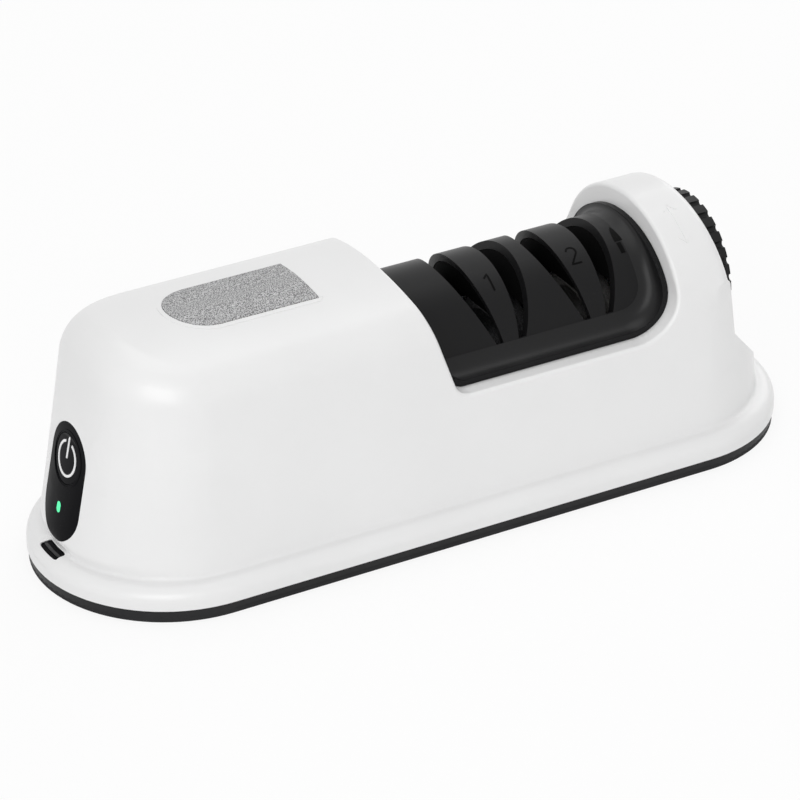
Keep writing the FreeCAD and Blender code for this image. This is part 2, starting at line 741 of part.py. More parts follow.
def drum_cover():
    """The black slotted hood."""
    gap = size("seat_gap")
    left = "saddle_left - 2 * wall_inset"
    long = "saddle_right - (%s)" % left
    lifted = over_ledge("Lifted", gap)
    hood = fuse("HoodForm", rod("HoodRound", "cover_radius", long, left, "0", "axis_height"),
                slab("HoodCheek", left, "cover_radius", "ledge_top", long, "axis_height - ledge_top"))
    oval = doc.addObject("Part::Ellipse", "SkirtOval")
    bind(oval, "MajorRadius", "skirt_half")
    bind(oval, "MinorRadius", "cover_radius + skirt_rise")
    place(oval, "stage_one", "0", "axis_height", FACING_X)
    reach = fuse("SkirtReach", prism("SkirtRound", oval, long),
                 slab("SkirtLow", left, "skirt_half", "0", long, "axis_height"))
    skirt = common("Skirt", cut("SkirtSheet", lifted, over_ledge("SkirtTop", gap + size("skirt_thick"))), reach)
    outside = fuse("HoodOutside", common("HoodSeated", hood, lifted), skirt)
    inner = "(cover_radius - cover_wall)"
    room = fuse("HoodRoom", rod("RoomRound", inner, long + " - cover_wall", left, "0", "axis_height"),
                slab("RoomLow", left, inner, "0", long + " - corner_round", "axis_height"))
    slots = []
    sky = "(axis_height + cover_radius + 8)"
    for n, stage in enumerate(("stage_one", "(stage_one + stage_pitch)")):
        run = "({0}_top + 8 * ({0}_top - {0}_foot) / (axis_height + cover_radius - slot_foot))"
        fore = [("fore_left_foot", "slot_foot"), ("fore_right_foot", "slot_foot"),
                (run.format("fore_right"), sky), (run.format("fore_left"), sky)]
        aft = [("aft_left", "slot_foot"), ("aft_right_foot", "slot_foot"),
               (run.format("aft_right"), sky), ("aft_left", sky)]
        slots.append(knife_slot("ForeSlot%d" % n, stage, fore))
        slots.append(knife_slot("AftSlot%d" % n, stage, aft))
    return cut("Cover", outside, room, *slots)


# Grinding wheels, the shaft and the gears

def bored(name, body, radius):
    """A turned piece with a bore along the wheel shaft's line."""
    return cut(name, body, rod(name + "Bore", radius, "base_length", "-base_length / 2", "0", "shaft_height"))


def grinding_wheel(name, rim, faces_right):
    """A wheel whose coned face starts at its rim, with a hub on its back."""
    if faces_right:
        back, coned, hub = rim + " - wheel_back", rim, rim + " - wheel_back - hub_long"
        start, finish = "wheel_radius", "wheel_nose"
    else:
        back, coned, hub = rim, rim + " - wheel_cone", rim + " + wheel_back"
        start, finish = "wheel_nose", "wheel_radius"
    body = fuse(name + "Body", rod(name + "Back", "wheel_radius", "wheel_back", back, "0", "shaft_height"),
                cone(name + "Cone", start, finish, "wheel_cone", coned, "0", "shaft_height"),
                rod(name + "Hub", "hub_radius", "hub_long", hub, "0", "shaft_height"))
    return bored(name, body, "shaft_radius")


def stage_middle(stage):
    """The place of a stage on the shaft."""
    return ("stage_one", "(stage_one + stage_pitch)")[stage]


def shaft_sleeves():
    """The four sleeves that keep the wheels apart on the shaft."""
    spans = [("(gear_left + gear_width)", "(stage_one + fore_wheel - wheel_back - hub_long)")]
    for stage in (0, 1):
        centre = stage_middle(stage)
        spans.append(("(%s + fore_wheel + wheel_cone)" % centre, "(%s + aft_wheel - wheel_cone)" % centre))
    spans.append(("(stage_one + aft_wheel + wheel_back + hub_long)",
                  "(stage_one + stage_pitch + fore_wheel - wheel_back - hub_long)"))
    sleeves = []
    for n, (left, right) in enumerate(spans):
        tube = rod("SleeveTube%d" % n, "sleeve_radius", "%s - %s" % (right, left), left, "0", "shaft_height")
        sleeves.append(bored("Sleeve%d" % n, tube, "shaft_radius"))
    return group("Sleeves", *sleeves)


def shaft_clips():
    """The clip that holds the last wheel against its sleeve."""
    left = "stage_one + stage_pitch + aft_wheel + wheel_back + hub_long"
    return bored("Clip", rod("ClipDisc", "clip_radius", "clip_thick", left, "0", "shaft_height"), "shaft_radius")


def gear(name, teeth, height, bore, turn):
    """An involute spur gear on the wheel shaft's or the motor's line, its first tooth turned by an angle."""
    pressure = math.radians(25)
    module, count = size("gear_module"), int(size(teeth))
    pitch = module * count / 2
    base, tip, root = pitch * math.cos(pressure), pitch + 0.9 * module, pitch - 1.2 * module
    half_tooth = (math.pi * module / 2 - size("backlash")) / 2 / pitch
    at_pitch = math.tan(pressure) - pressure

    def flank(radius):
        """Half the tooth's angle at a radius."""
        roll = math.acos(min(1, base / radius))
        return half_tooth + at_pitch - (math.tan(roll) - roll)

    radii = [root, max(base, root), pitch, tip]
    points = []
    for tooth in range(count):
        centre = turn + math.tau * tooth / count
        sides = [(r, centre - flank(max(r, base))) for r in radii]
        sides += [(r, centre + flank(max(r, base))) for r in reversed(radii)]
        points += [V(0, r * math.cos(a), r * math.sin(a)) for r, a in sides]
    rim = Part.Face(Part.makePolygon(points + points[:1])).extrude(V(size("gear_width"), 0, 0))
    hole = Part.makeCylinder(size(bore), size("gear_width"), V(0, 0, 0), V(1, 0, 0))
    thing = doc.addObject("Part::Feature", name)
    thing.Shape = rim.cut(hole)
    return place(thing, "gear_left", "0", height)


# Lock knob, in the round recess of the collar

def lock_knob():
    """The fluted disc, with two finger hollows that leave a grip bar, and its spindle."""
    left = "knob_seat + knob_lift"
    disc = rod("KnobDisc", "knob_radius", "knob_thick", left, "0", "axis_height")
    spindle = rod("KnobSpindle", "spindle_radius", "spindle_long + knob_lift", "knob_seat - spindle_long", "0",
                  "axis_height")
    flutes = []
    count = int(size("knob_flutes"))
    for n in range(count):
        angle = "(%d * 360 deg / knob_flutes)" % n
        flutes.append(rod("Flute%d" % n, "flute_radius", "2 * knob_thick", "knob_seat",
                          "knob_radius * cos(%s)" % angle, "axis_height + knob_radius * sin(%s)" % angle))
    well = rod("KnobWell", "grip_radius", "grip_deep", left + " + knob_thick - grip_deep", "0", "axis_height")
    bar = slab("KnobBar", "knob_seat", "grip_half", "axis_height - knob_radius", "3 * knob_thick",
               "2 * knob_radius")
    return cut("Knob", fuse("KnobBody", disc, spindle), fuse("Flutes", *flutes), cut("KnobHollow", well, bar))


def knob_retainer():
    """The ring on the spindle's end, behind the collar's wall."""
    left = "knob_seat - wall_thick - running_gap * 4 - retainer_thick"
    disc = rod("RetainerDisc", "retainer_radius", "retainer_thick", left, "0", "axis_height")
    hole = rod("RetainerHole", "spindle_radius", "2 * retainer_thick", left + " - 0.1", "0", "axis_height")
    return cut("Retainer", disc, hole)


node("housing_shell", housing_shell())
node("base_plate", base_plate())
node("rubber_feet", rubber_feet())
node("base_screws", base_screws())
node("grip_pad", grip_pad())
node("drum_cover", drum_cover())
node("control_panel", control_panel())
node("power_button", power_button())
node("status_lens", status_lens())
node("usb_port", usb_port())
node("control_board", control_board())
node("tact_switch", tact_switch())
node("battery_cell", battery_cell())
node("battery_cradle", battery_cradle())
node("motor_bracket", motor_bracket())
node("motor", motor())
node("motor_screws", motor_screws())
node("bush_left", shaft_bush("BushLeft", "bracket_left + running_gap", "bracket_thick - running_gap"))
node("bush_right", shaft_bush("BushRight", "tray_right - tray_end", "tray_end"))
node("wheel_tray", wheel_tray())
node("drive_shaft", rod("DriveShaft", "shaft_radius", "shaft_right - shaft_left", "shaft_left", "0",
                        "shaft_height"))
node("driven_gear", gear("DrivenGear", "gear_teeth", "shaft_height", "shaft_radius", -math.pi / 2))
node("motor_shaft", rod("MotorShaft", "motor_shaft", "gear_left + gear_width - bracket_left + motor_long * 0.8",
                        "bracket_left - motor_long * 0.8", "0", "motor_height"))
node("motor_pinion", gear("MotorPinion", "pinion_teeth", "motor_height", "motor_shaft",
                          math.pi / 2 + math.pi / size("pinion_teeth")))
for stage in (0, 1):
    word = ("coarse", "fine")[stage]
    node(word + "_wheel_fore", grinding_wheel("ForeWheel%d" % stage, stage_middle(stage) + " + fore_wheel", True))
    node(word + "_wheel_aft", grinding_wheel("AftWheel%d" % stage, stage_middle(stage) + " + aft_wheel", False))
node("shaft_sleeves", shaft_sleeves())
node("shaft_clip", shaft_clips())
node("lock_knob", lock_knob())
node("knob_retainer", knob_retainer())


# Checks and files

doc.recompute()
for thing in doc.Objects:
    if "Invalid" in thing.State or "Error" in thing.State:
        raise RuntimeError(thing.Name + " did not build")
for thing in nodes:
    if thing.Shape.isNull() or not thing.Shape.isValid():
        raise RuntimeError(thing.Label + " has no sound shape")
os.makedirs("parts", exist_ok=True)
for thing in nodes:
    thing.Shape.exportStep("parts/" + thing.Label + ".step")
    print(thing.Label, len(thing.Shape.Solids), round(thing.Shape.Volume / 1000, 2), "cm3")
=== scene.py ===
"""Looks of a rechargeable electric knife sharpener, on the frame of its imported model."""

import json
import logging
import math
from collections.abc import Callable
from dataclasses import dataclass, field
from enum import Enum

import bmesh
import bpy
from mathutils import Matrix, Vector
from mathutils.bvhtree import BVHTree

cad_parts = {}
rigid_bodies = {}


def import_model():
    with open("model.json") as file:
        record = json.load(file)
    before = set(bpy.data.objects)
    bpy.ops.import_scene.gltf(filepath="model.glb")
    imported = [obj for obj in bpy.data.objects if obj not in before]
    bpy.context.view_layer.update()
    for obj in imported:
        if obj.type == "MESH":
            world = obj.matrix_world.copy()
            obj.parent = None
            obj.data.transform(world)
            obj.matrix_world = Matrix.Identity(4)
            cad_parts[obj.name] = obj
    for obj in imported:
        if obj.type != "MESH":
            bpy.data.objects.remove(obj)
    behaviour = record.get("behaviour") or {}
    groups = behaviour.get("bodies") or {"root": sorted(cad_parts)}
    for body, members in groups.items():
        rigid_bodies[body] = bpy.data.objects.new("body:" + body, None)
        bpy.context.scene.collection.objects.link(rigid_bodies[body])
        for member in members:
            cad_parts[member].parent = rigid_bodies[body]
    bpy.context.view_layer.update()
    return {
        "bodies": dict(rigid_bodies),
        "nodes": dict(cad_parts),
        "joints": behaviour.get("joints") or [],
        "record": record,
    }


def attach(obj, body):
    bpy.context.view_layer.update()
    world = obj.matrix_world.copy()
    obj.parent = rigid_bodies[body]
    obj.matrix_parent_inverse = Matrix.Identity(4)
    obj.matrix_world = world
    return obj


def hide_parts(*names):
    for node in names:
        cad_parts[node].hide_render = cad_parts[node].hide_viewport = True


LOG = logging.getLogger("sharpener")
MM = 0.001
CRISP = 28.0  # degrees; edges that bend more are shaded sharp
WELD = 0.000002  # metres; a node's vertices nearer than this are joined
ROOT = 0.15  # millimetres; how deep a ribbon's foot lies under the surface
RUN = 0.6  # millimetres; the longest straight run of a ribbon
ABOVE = 0.1  # metres; where a ray that looks down on the object starts
BESIDE = 0.2  # metres; where a ray that looks at the end wall starts
LIGHT = (1.0, 1.0, 1.0)

Colour = tuple[float, float, float]
Place = tuple[float, float, float]
Flat = tuple[float, float]
Drape = Callable[[float, float], tuple[Vector, Vector]]


# Shader building


class Signal:
    """A shader socket that takes part in arithmetic, each step adding a Math node."""

    def __init__(self, graph: "Graph", socket: bpy.types.NodeSocket) -> None:
        """Wraps a socket.

        Args:
            graph: The node graph that the socket belongs to.
            socket: The output socket.
        """
        self.graph = graph
        self.socket = socket

    def _with(self, operation: str, *values: "Signal | float") -> "Signal":
        """Joins sockets or numbers with one Math node.

        Args:
            operation: The Math node's operation.
            values: The operands in order.

        Returns:
            The node's output.
        """
        inputs = dict(enumerate(values))
        return self.graph.add("ShaderNodeMath", inputs, operation=operation)

    def __add__(self, other: "Signal | float") -> "Signal":
        """Adds."""
        return self._with("ADD", self, other)

    __radd__ = __add__

    def __mul__(self, other: "Signal | float") -> "Signal":
        """Multiplies."""
        return self._with("MULTIPLY", self, other)

    __rmul__ = __mul__

    def __sub__(self, other: "Signal | float") -> "Signal":
        """Subtracts."""
        return self._with("SUBTRACT", self, other)

    def __rsub__(self, other: "Signal | float") -> "Signal":
        """Subtracts the signal from a number."""
        return self._with("SUBTRACT", other, self)

    def within(self, low: float, high: float) -> "Signal":
        """A soft step from 0 at the low value to 1 at the high one."""
        inputs = {0: self, 1: low, 2: high}
        return self.graph.add("ShaderNodeMapRange", inputs, interpolation_type="SMOOTHSTEP")


class Graph:
    """The node graph of a material or a world, built one node at a time."""

    def __init__(self, owner: bpy.types.Material | bpy.types.World) -> None:
        """Starts on the nodes that a new material or world has.

        Args:
            owner: The material or the world.
        """
        owner.use_nodes = True
        self.owner = owner
        self.tree = owner.node_tree
        self.shader = self.tree.nodes.get("Principled BSDF")

    def add(self, kind: str, inputs: dict[int | str, object] | None = None, output: int | str = 0,
            **settings: object) -> Signal:
        """Adds a node, sets it and fills its sockets.

        Args:
            kind: The node's type.
            inputs: Values or signals by socket index or name.
            output: The output socket that is returned.
            settings: The node's own settings, set before its sockets.

        Returns:
            The chosen output.
        """
        node = self.tree.nodes.new(kind)
        for key, value in settings.items():
            setattr(node, key, value)
        for key, value in (inputs or {}).items():
            self.feed(node.inputs[key], value)
        return Signal(self, node.outputs[output])

    def feed(self, socket: bpy.types.NodeSocket, value: object) -> None:
        """Links a signal to a socket, or sets its value.

        Args:
            socket: The input socket.
            value: A signal, a number or a tuple.
        """
        if isinstance(value, Signal):
            self.tree.links.new(value.socket, socket)
        elif isinstance(value, tuple) and len(value) == 3 and socket.type == "RGBA":
            socket.default_value = (*value, 1.0)
        else:
            socket.default_value = value

    def set(self, **values: object) -> None:
        """Fills the shader's own sockets, named with underscores for spaces."""
        for key, value in values.items():
            self.feed(self.shader.inputs[key.replace("_", " ")], value)

    def seen(self) -> Signal:
        """Tells what is looked at from what only gives light.

        Returns:
            One for rays of the camera, a gloss or a glass, and nought for the others.
        """
        camera, glossy, through = (self.add("ShaderNodeLightPath", output=f"Is {kind} Ray")
                                   for kind in ("Camera", "Glossy", "Transmission"))
        return 1 - (1 - camera) * (1 - glossy) * (1 - through)

    @classmethod
    def of_material(cls, name: str) -> "Graph":
        """Starts a new material's graph."""
        return cls(bpy.data.materials.new(name))

    def surface(self, shade: Signal, out: str) -> None:
        """Sends a shader to the output node of that name."""
        self.feed(self.tree.nodes[out].inputs["Surface"], shade)

    def place(self) -> Signal:
        """The surface point in the object's own space, which is the frame's."""
        return self.add("ShaderNodeTexCoord", output="Object")

    def noise(self, scale: float, detail: float = 2.0, rough: float = 0.5) -> Signal:
        """Fractal noise.

        Args:
            scale: Cycles in a metre.
            detail: Octaves.
            rough: The weight of the finer octaves.

        Returns:
            The noise's value, about 0.5.
        """
        inputs = {"Vector": self.place(), "Scale": scale, "Detail": detail, "Roughness": rough}
        return self.add("ShaderNodeTexNoise", inputs)

    def blend(self, mask: Signal, first: Signal | Colour, second: Signal | Colour) -> Signal:
        """Mixes two colours.

        Args:
            mask: 0 gives the first, 1 the second.
            first: A colour or a signal.
            second: A colour or a signal.

        Returns:
            The mixed colour.
        """
        inputs = {0: mask, 6: first, 7: second}
        return self.add("ShaderNodeMix", inputs, output=2, data_type="RGBA")

    def bump(self, height: Signal, strength: float, depth: float) -> Signal:
        """A normal bent by a height.

        Args:
            height: The height signal.
            strength: How much of the bend is used.
            depth: The height of one unit, in metres.

        Returns:
            The normal.
        """
        inputs = {"Height": height, "Strength": strength, "Distance": depth}
        return self.add("ShaderNodeBump", inputs)


# Finishes


class Tone(Enum):
    """Base colours, as linear values."""

    WHITE = (0.85, 0.85, 0.85)
    BLACK = (0.004, 0.004, 0.005)
    HOOD = (0.009, 0.009, 0.0095)
    BASE = (0.016, 0.016, 0.017)
    # Also the guide walls in the slots, where this near-black is painted shade.
    PRINT = (0.003, 0.003, 0.003)
    PAD_DARK = (0.13, 0.13, 0.132)
    PAD_LIGHT = (0.60, 0.60, 0.605)
    SYMBOL = (0.90, 0.90, 0.90)
    LAMP = (0.0, 0.62, 0.22)
    LAMP_BRIGHT = (0.02, 0.72, 0.3)
    STEEL = (0.52, 0.52, 0.54)
    BRASS = (0.66, 0.48, 0.22)
    GRIT = (0.12, 0.12, 0.125)
    FINE_GRIT = (0.2, 0.195, 0.19)
    NYLON = (0.72, 0.70, 0.64)
    BOARD = (0.02, 0.16, 0.07)
    WRAP = (0.03, 0.12, 0.35)
    # Also the band under the base's edge, where this tone is painted shadow.
    RUBBER_AND_SHADOW = (0.025, 0.025, 0.026)


def shaded(tone: Tone, share: float) -> Colour:
    """A tone made darker or lighter."""
    return tuple(min(1.0, channel * share) for channel in tone.value)


@dataclass(frozen=True)
class Plastic:
    """Moulded plastic: a base colour with faint clouding, spark-fine grain and uneven gloss."""

    name: str
    tone: Tone
    roughness: float
    coat: float = 0.0
    grain: float = 5200.0
    depth: float = 0.000004
    cloud: float = 0.03
    wear: float = 0.05
    bend: float = 1.47
    cloud_scale: float = 28.0
    smear_scale: float = 140.0
    coat_roughness: float = 0.12

    def make(self) -> bpy.types.Material:
        """Builds the material.

        Returns:
            The material.
        """
        graph = Graph.of_material(self.name)
        cloud = graph.noise(self.cloud_scale, 3.0).within(0.3, 0.7)
        smear = graph.noise(self.smear_scale, 4.0, 0.6)
        fine = graph.noise(self.grain)
        dark, light = shaded(self.tone, 1 - self.cloud), shaded(self.tone, 1 + self.cloud)
        graph.set(Base_Color=graph.blend(cloud, dark, light),
                  Roughness=(smear - 0.5) * self.wear * 2 + self.roughness,
                  Coat_Weight=self.coat, Coat_Roughness=self.coat_roughness, IOR=self.bend,
                  Normal=graph.bump(fine, 0.6, self.depth))
        return graph.owner


@dataclass(frozen=True)
class Metal:
    """Turned or drawn metal, with fine lines round the X axis."""

    name: str
    tone: Tone
    roughness: float = 0.3
    lines: float = 900.0
    stretch: Place = (1.0, 0.06, 0.06)
    dark: float = 0.8
    wear: float = 0.2
    depth: float = 0.00001

    def make(self) -> bpy.types.Material:
        """Builds the material.

        Returns:
            The material.
        """
        graph = Graph.of_material(self.name)
        inputs = {0: graph.place(), 1: self.stretch}
        across = graph.add("ShaderNodeVectorMath", inputs, operation="MULTIPLY")
        inputs = {"Vector": across, "Scale": self.lines, "Detail": 3.0}
        streak = graph.add("ShaderNodeTexNoise", inputs)
        mask = streak.within(0.35, 0.65)
        graph.set(Base_Color=graph.blend(mask, shaded(self.tone, self.dark), self.tone.value),
                  Metallic=1.0, Roughness=(streak - 0.5) * self.wear + self.roughness,
                  Normal=graph.bump(streak, 0.3, self.depth))
        return graph.owner


@dataclass(frozen=True)
class Grit:
    """Bonded abrasive: packed grains that glint."""

    name: str
    tone: Tone
    grain: float
    dark: float = 0.45
    metallic: float = 0.55
    roughness: float = 0.3
    depth: float = 0.00012

    def make(self) -> bpy.types.Material:
        """Builds the material.

        Returns:
            The material.
        """
        graph = Graph.of_material(self.name)
        inputs = {"Vector": graph.place(), "Scale": self.grain}
        cells = graph.add("ShaderNodeTexVoronoi", inputs, output="Distance")
        mask = cells.within(0.1, 0.6)
        graph.set(Base_Color=graph.blend(mask, self.tone.value, shaded(self.tone, self.dark)),
                  Metallic=self.metallic, Roughness=cells * 0.3 + self.roughness,
                  Normal=graph.bump(cells, 0.8, self.depth))
        return graph.owner


@dataclass(frozen=True)
class Speckle:
    """The roof pad: a rough skin packed with pale and dark flecks."""

    name: str = "speckled_pad"
    fleck: float = 3600.0
    roughness: float = 0.62
    metallic: float = 0.15
    depth: float = 0.00008

    def make(self) -> bpy.types.Material:
        """Builds the material.

        Returns:
            The material.
        """
        graph = Graph.of_material(self.name)
        fine = graph.noise(self.fleck, 1.0, 0.6)
        dark, light = Tone.PAD_DARK.value, Tone.PAD_LIGHT.value
        graph.set(Base_Color=graph.blend(fine.within(0.40, 0.60), dark, light),
                  Roughness=self.roughness, Metallic=self.metallic,
                  Normal=graph.bump(fine, 0.5, self.depth))
        return graph.owner


@dataclass(frozen=True)
class Lamp:
    """A lit lens: an uneven green glow under a clear coat."""

    name: str = "lit_lens"
    strength: float = 0.7
    mottle: float = 900.0
    roughness: float = 0.2
    coat: float = 0.5

    def make(self) -> bpy.types.Material:
        """Builds the material.

        Returns:
            The material.
        """
        graph = Graph.of_material(self.name)
        glow = graph.noise(self.mottle, 1.0)
        colour = graph.blend(glow.within(0.2, 0.8), Tone.LAMP.value, Tone.LAMP_BRIGHT.value)
        graph.set(Base_Color=colour, Emission_Color=colour, Emission_Strength=self.strength,
                  Roughness=self.roughness, Coat_Weight=self.coat)
        return graph.owner


class Finish(Enum):
    """Every finish on the object."""

    SHELL = Plastic("white_shell", Tone.WHITE, 0.30, coat=0.15, cloud=0.012, wear=0.04)
    HOOD = Plastic("black_hood", Tone.HOOD, 0.36, grain=7000.0, depth=0.00001, cloud=0.1,
                   bend=1.24)
    PANEL = Plastic("gloss_panel", Tone.BLACK, 0.14, cloud=0.05, wear=0.03, bend=1.1)
    CAP = Plastic("gloss_cap", Tone.BLACK, 0.18, cloud=0.05, wear=0.03, bend=1.11)
    BASE = Plastic("black_base", Tone.BASE, 0.42, depth=0.000012, cloud=0.1, bend=1.3)
    KNOB = Plastic("black_knob", Tone.HOOD, 0.40, depth=0.000012, cloud=0.1, bend=1.3)
    PRINT = Plastic("gloss_print", Tone.PRINT, 0.3, cloud=0.1, bend=1.12)
    SYMBOL = Plastic("white_print", Tone.SYMBOL, 0.35, cloud=0.02)
    # The real rubber feet, and also the band under the base's edge that is painted shadow.
    RUBBER_AND_SHADOW = Plastic("foot_rubber", Tone.RUBBER_AND_SHADOW, 0.75, grain=2600.0, depth=0.00003, cloud=0.15,
                     bend=1.25)
    NYLON = Plastic("nylon_gear", Tone.NYLON, 0.45)
    FLARE = Plastic("black_flare", Tone.HOOD, 0.33, grain=7000.0, depth=0.00001, cloud=0.1,
                    bend=1.32)
    # The guide walls are real; their near-black tone, darker than the other black mouldings, is
    # painted shade inside the slots.
    FENCE_SHADE = Plastic("slot_fence", Tone.PRINT, 0.6, cloud=0.1, bend=1.1)
    INNER = Plastic("inner_moulding", Tone.BASE, 0.5, cloud=0.1)
    BOARD = Plastic("board_mask", Tone.BOARD, 0.3, coat=0.3, cloud=0.2)
    WRAP = Plastic("cell_wrap", Tone.WRAP, 0.25, coat=0.4)
    PAD = Speckle()
    LAMP = Lamp()
    STEEL = Metal("turned_steel", Tone.STEEL)
    BRASS = Metal("bearing_brass", Tone.BRASS, 0.35)
    COARSE = Grit("coarse_grit", Tone.GRIT, 2600.0)
    FINE = Grit("fine_grit", Tone.FINE_GRIT, 5200.0)


class Workshop:
    """Makes each material once, and dresses objects with them."""

    def __init__(self) -> None:
        """Starts with no materials."""
        self.made: dict[Finish, bpy.types.Material] = {}

    def material(self, finish: Finish) -> bpy.types.Material:
        """Finds or builds a finish's material.

        Args:
            finish: The finish.

        Returns:
            Its only material.
        """
        if finish not in self.made:
            self.made[finish] = finish.value.make()
        return self.made[finish]

    def dress(self, piece: bpy.types.Object, finish: Finish) -> None:
        """Gives a piece one finish all over.

        Args:
            piece: The object.
            finish: Its finish.
        """
        piece.data.materials.clear()
        piece.data.materials.append(self.material(finish))


def mesh_piece(name: str, shape: bmesh.types.BMesh, smooth: bool = True) -> bpy.types.Object:
    """Turns a bmesh into a scene object.

    Args:
        name: The object's name.
        shape: The geometry, freed here.
        smooth: Whether faces are shaded smooth.

    Returns:
        The object.
    """
    bmesh.ops.recalc_face_normals(shape, faces=shape.faces)
    for edge in shape.edges:
        edge.smooth = len(edge.link_faces) == 2 and edge.calc_face_angle(0.0) < math.radians(CRISP)
    data = bpy.data.meshes.new(name)
    shape.to_mesh(data)
    shape.free()
    for face in data.polygons:
        face.use_smooth = smooth
    piece = bpy.data.objects.new(name, data)
    bpy.context.scene.collection.objects.link(piece)
    return piece


@dataclass(frozen=True)
class Lean:
    """The end wall's lean and its flatter middle, as a shift along X that grows round the end."""

    centre: float = -68.0
    reach: float = 29.7
    pivot: float = 38.0
    slope: float = 0.093
    foot_low: float = 9.3
    foot_high: float = 13.5
    flat_low: float = 1.0
    flat_rise: float = 0.05
    flat_top: float = 45.0
    flat_half: float = 20.0
    ease: float = 1.6
    levels: tuple[float, ...] = (9.8, 10.4, 11.0, 11.7, 12.5, 13.5, 18.0, 24.0, 30.0, 36.0, 42.0,
                                 48.0)

    def moved(self, point: Vector) -> Vector:
        """Where a point of the upright wall goes.

        Args:
            point: The point, in metres.

        Returns:
            The shifted point.
        """
        x, height = point.x / MM, point.z / MM
        share = min(1.0, max(0.0, (self.centre - x) / self.reach))
        rise = min(1.0, max(0.0, (height - self.foot_low) / (self.foot_high - self.foot_low)))
        rise = rise * rise * (3 - 2 * rise)
        middle = max(0.0, 1 - (point.y / MM / self.flat_half) ** 2) ** 2
        flat = self.flat_low + self.flat_rise * (min(height, self.flat_top) - self.foot_high)
        shift = self.slope * (height - self.pivot) + flat * middle
        return Vector((point.x + shift * share * rise * MM, point.y, point.z))

    def copy(self, node: bpy.types.Object, name: str, still: float = 0.0) -> bpy.types.Object:
        """Copies a node's mesh, cuts it at the levels and leans it.

        Args:
            node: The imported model's node, which isn't changed.
            name: The new piece's name.
            still: The X, in millimetres, from which on nothing moves.

        Returns:
            The new piece.
        """
        shape = bmesh.new()
        shape.from_mesh(node.data)
        bmesh.ops.remove_doubles(shape, verts=shape.verts, dist=WELD)
        for level in self.levels:
            whole = shape.verts[:] + shape.edges[:] + shape.faces[:]
            bmesh.ops.bisect_plane(shape, geom=whole, plane_co=(0, 0, level * MM),
                                   plane_no=(0, 0, 1))
        for vertex in shape.verts:
            share = min(1.0, max(0.0, (still - vertex.co.x / MM) / self.ease))
            vertex.co = vertex.co.lerp(self.moved(vertex.co), share)
        piece = mesh_piece(name, shape)
        crisp = piece.modifiers.new("crisp", "WEIGHTED_NORMAL")
        crisp.keep_sharp = True
        return piece


def surface_of(piece: bpy.types.Object) -> BVHTree:
    """A tree that finds where a ray meets a piece.

    Args:
        piece: The object, whose mesh is in the frame.

    Returns:
        The tree.
    """
    shape = bmesh.new()
    shape.from_mesh(piece.data)
    tree = BVHTree.FromBMesh(shape)
    shape.free()
    return tree


def finer(path: list[Flat], widths: list[float], step: float) -> tuple[list[Flat], list[float]]:
    """Adds points to a line so that it can follow a curved face.

    Args:
        path: The line.
        widths: Its width at each point.
        step: The longest run that is left.

    Returns:
        The finer line and its widths.
    """
    points, sizes = [path[0]], [widths[0]]
    for first, second, start, end in zip(path, path[1:], widths, widths[1:]):
        count = max(1, math.ceil(math.dist(first, second) / step))
        for n in range(1, count + 1):
            t = n / count
            points.append((first[0] + (second[0] - first[0]) * t,
                           first[1] + (second[1] - first[1]) * t))
            sizes.append(start + (end - start) * t)
    if math.dist(points[0], points[-1]) < step / 100:
        points, sizes = points[:-1], sizes[:-1]
    return points, sizes


def ribbon(name: str, path: list[Flat], widths: list[float], drape: Drape, lift: float,
           closed: bool = False) -> bpy.types.Object:
    """A raised stroke on a surface: a closed solid strip that follows a flat path.

    Args:
        name: The piece's name.
        path: The stroke's middle line, in the surface's millimetres.
        widths: Its width at each point.
        drape: Gives the place and the normal of the surface at a flat point.
        lift: How far it stands proud, in millimetres.
        closed: Whether the line joins up.

    Returns:
        The piece.
    """
    shape = bmesh.new()
    rings = []
    if closed:
        path, widths = path + path[:1], widths + widths[:1]
    path, widths = finer(path, widths, RUN)
    for n, (here, width) in enumerate(zip(path, widths)):
        before = path[n - 1] if n or closed else here
        after = path[(n + 1) % len(path)] if n + 1 < len(path) or closed else here
        run = Vector((after[0] - before[0], after[1] - before[1])).normalized()
        side = Vector((-run.y, run.x)) * width / 2
        ring = []
        for way, height in ((1, lift), (-1, lift), (-1, -ROOT), (1, -ROOT)):
            spot, normal = drape(here[0] + way * side.x, here[1] + way * side.y)
            ring.append(shape.verts.new(spot + normal * height * MM))
        rings.append(ring)
    join_rings(shape, rings, closed)
    return mesh_piece(name, shape, smooth=False)


def join_rings(shape: bmesh.types.BMesh, rings: list[list[bmesh.types.BMVert]],
               closed: bool) -> None:
    """Skins a row of rings, and caps its ends unless it joins up.

    Args:
        shape: The mesh that holds the rings.
        rings: Rings of as many vertices each.
        closed: Whether the last ring meets the first.
    """
    count = len(rings[0])
    pairs = list(zip(rings, rings[1:])) + ([(rings[-1], rings[0])] if closed else [])
    for first, second in pairs:
        for n in range(count):
            m = (n + 1) % count
            shape.faces.new((first[n], first[m], second[m], second[n]))
    if not closed:
        shape.faces.new(rings[0])
        shape.faces.new(rings[-1][::-1])


def arc(radius: float, start: float, end: float, steps: int,
        middle: Flat = (0.0, 0.0)) -> list[Flat]:
    """Points along an arc.

    Args:
        radius: Its radius.
        start: Its first angle, in degrees from the first axis.
        end: Its last angle.
        steps: How many runs it is cut into.
        middle: Its centre.

    Returns:
        The points.
    """
    turns = [math.radians(start + (end - start) * n / steps) for n in range(steps + 1)]
    return [(middle[0] + radius * math.cos(turn), middle[1] + radius * math.sin(turn))
            for turn in turns]


# The studio


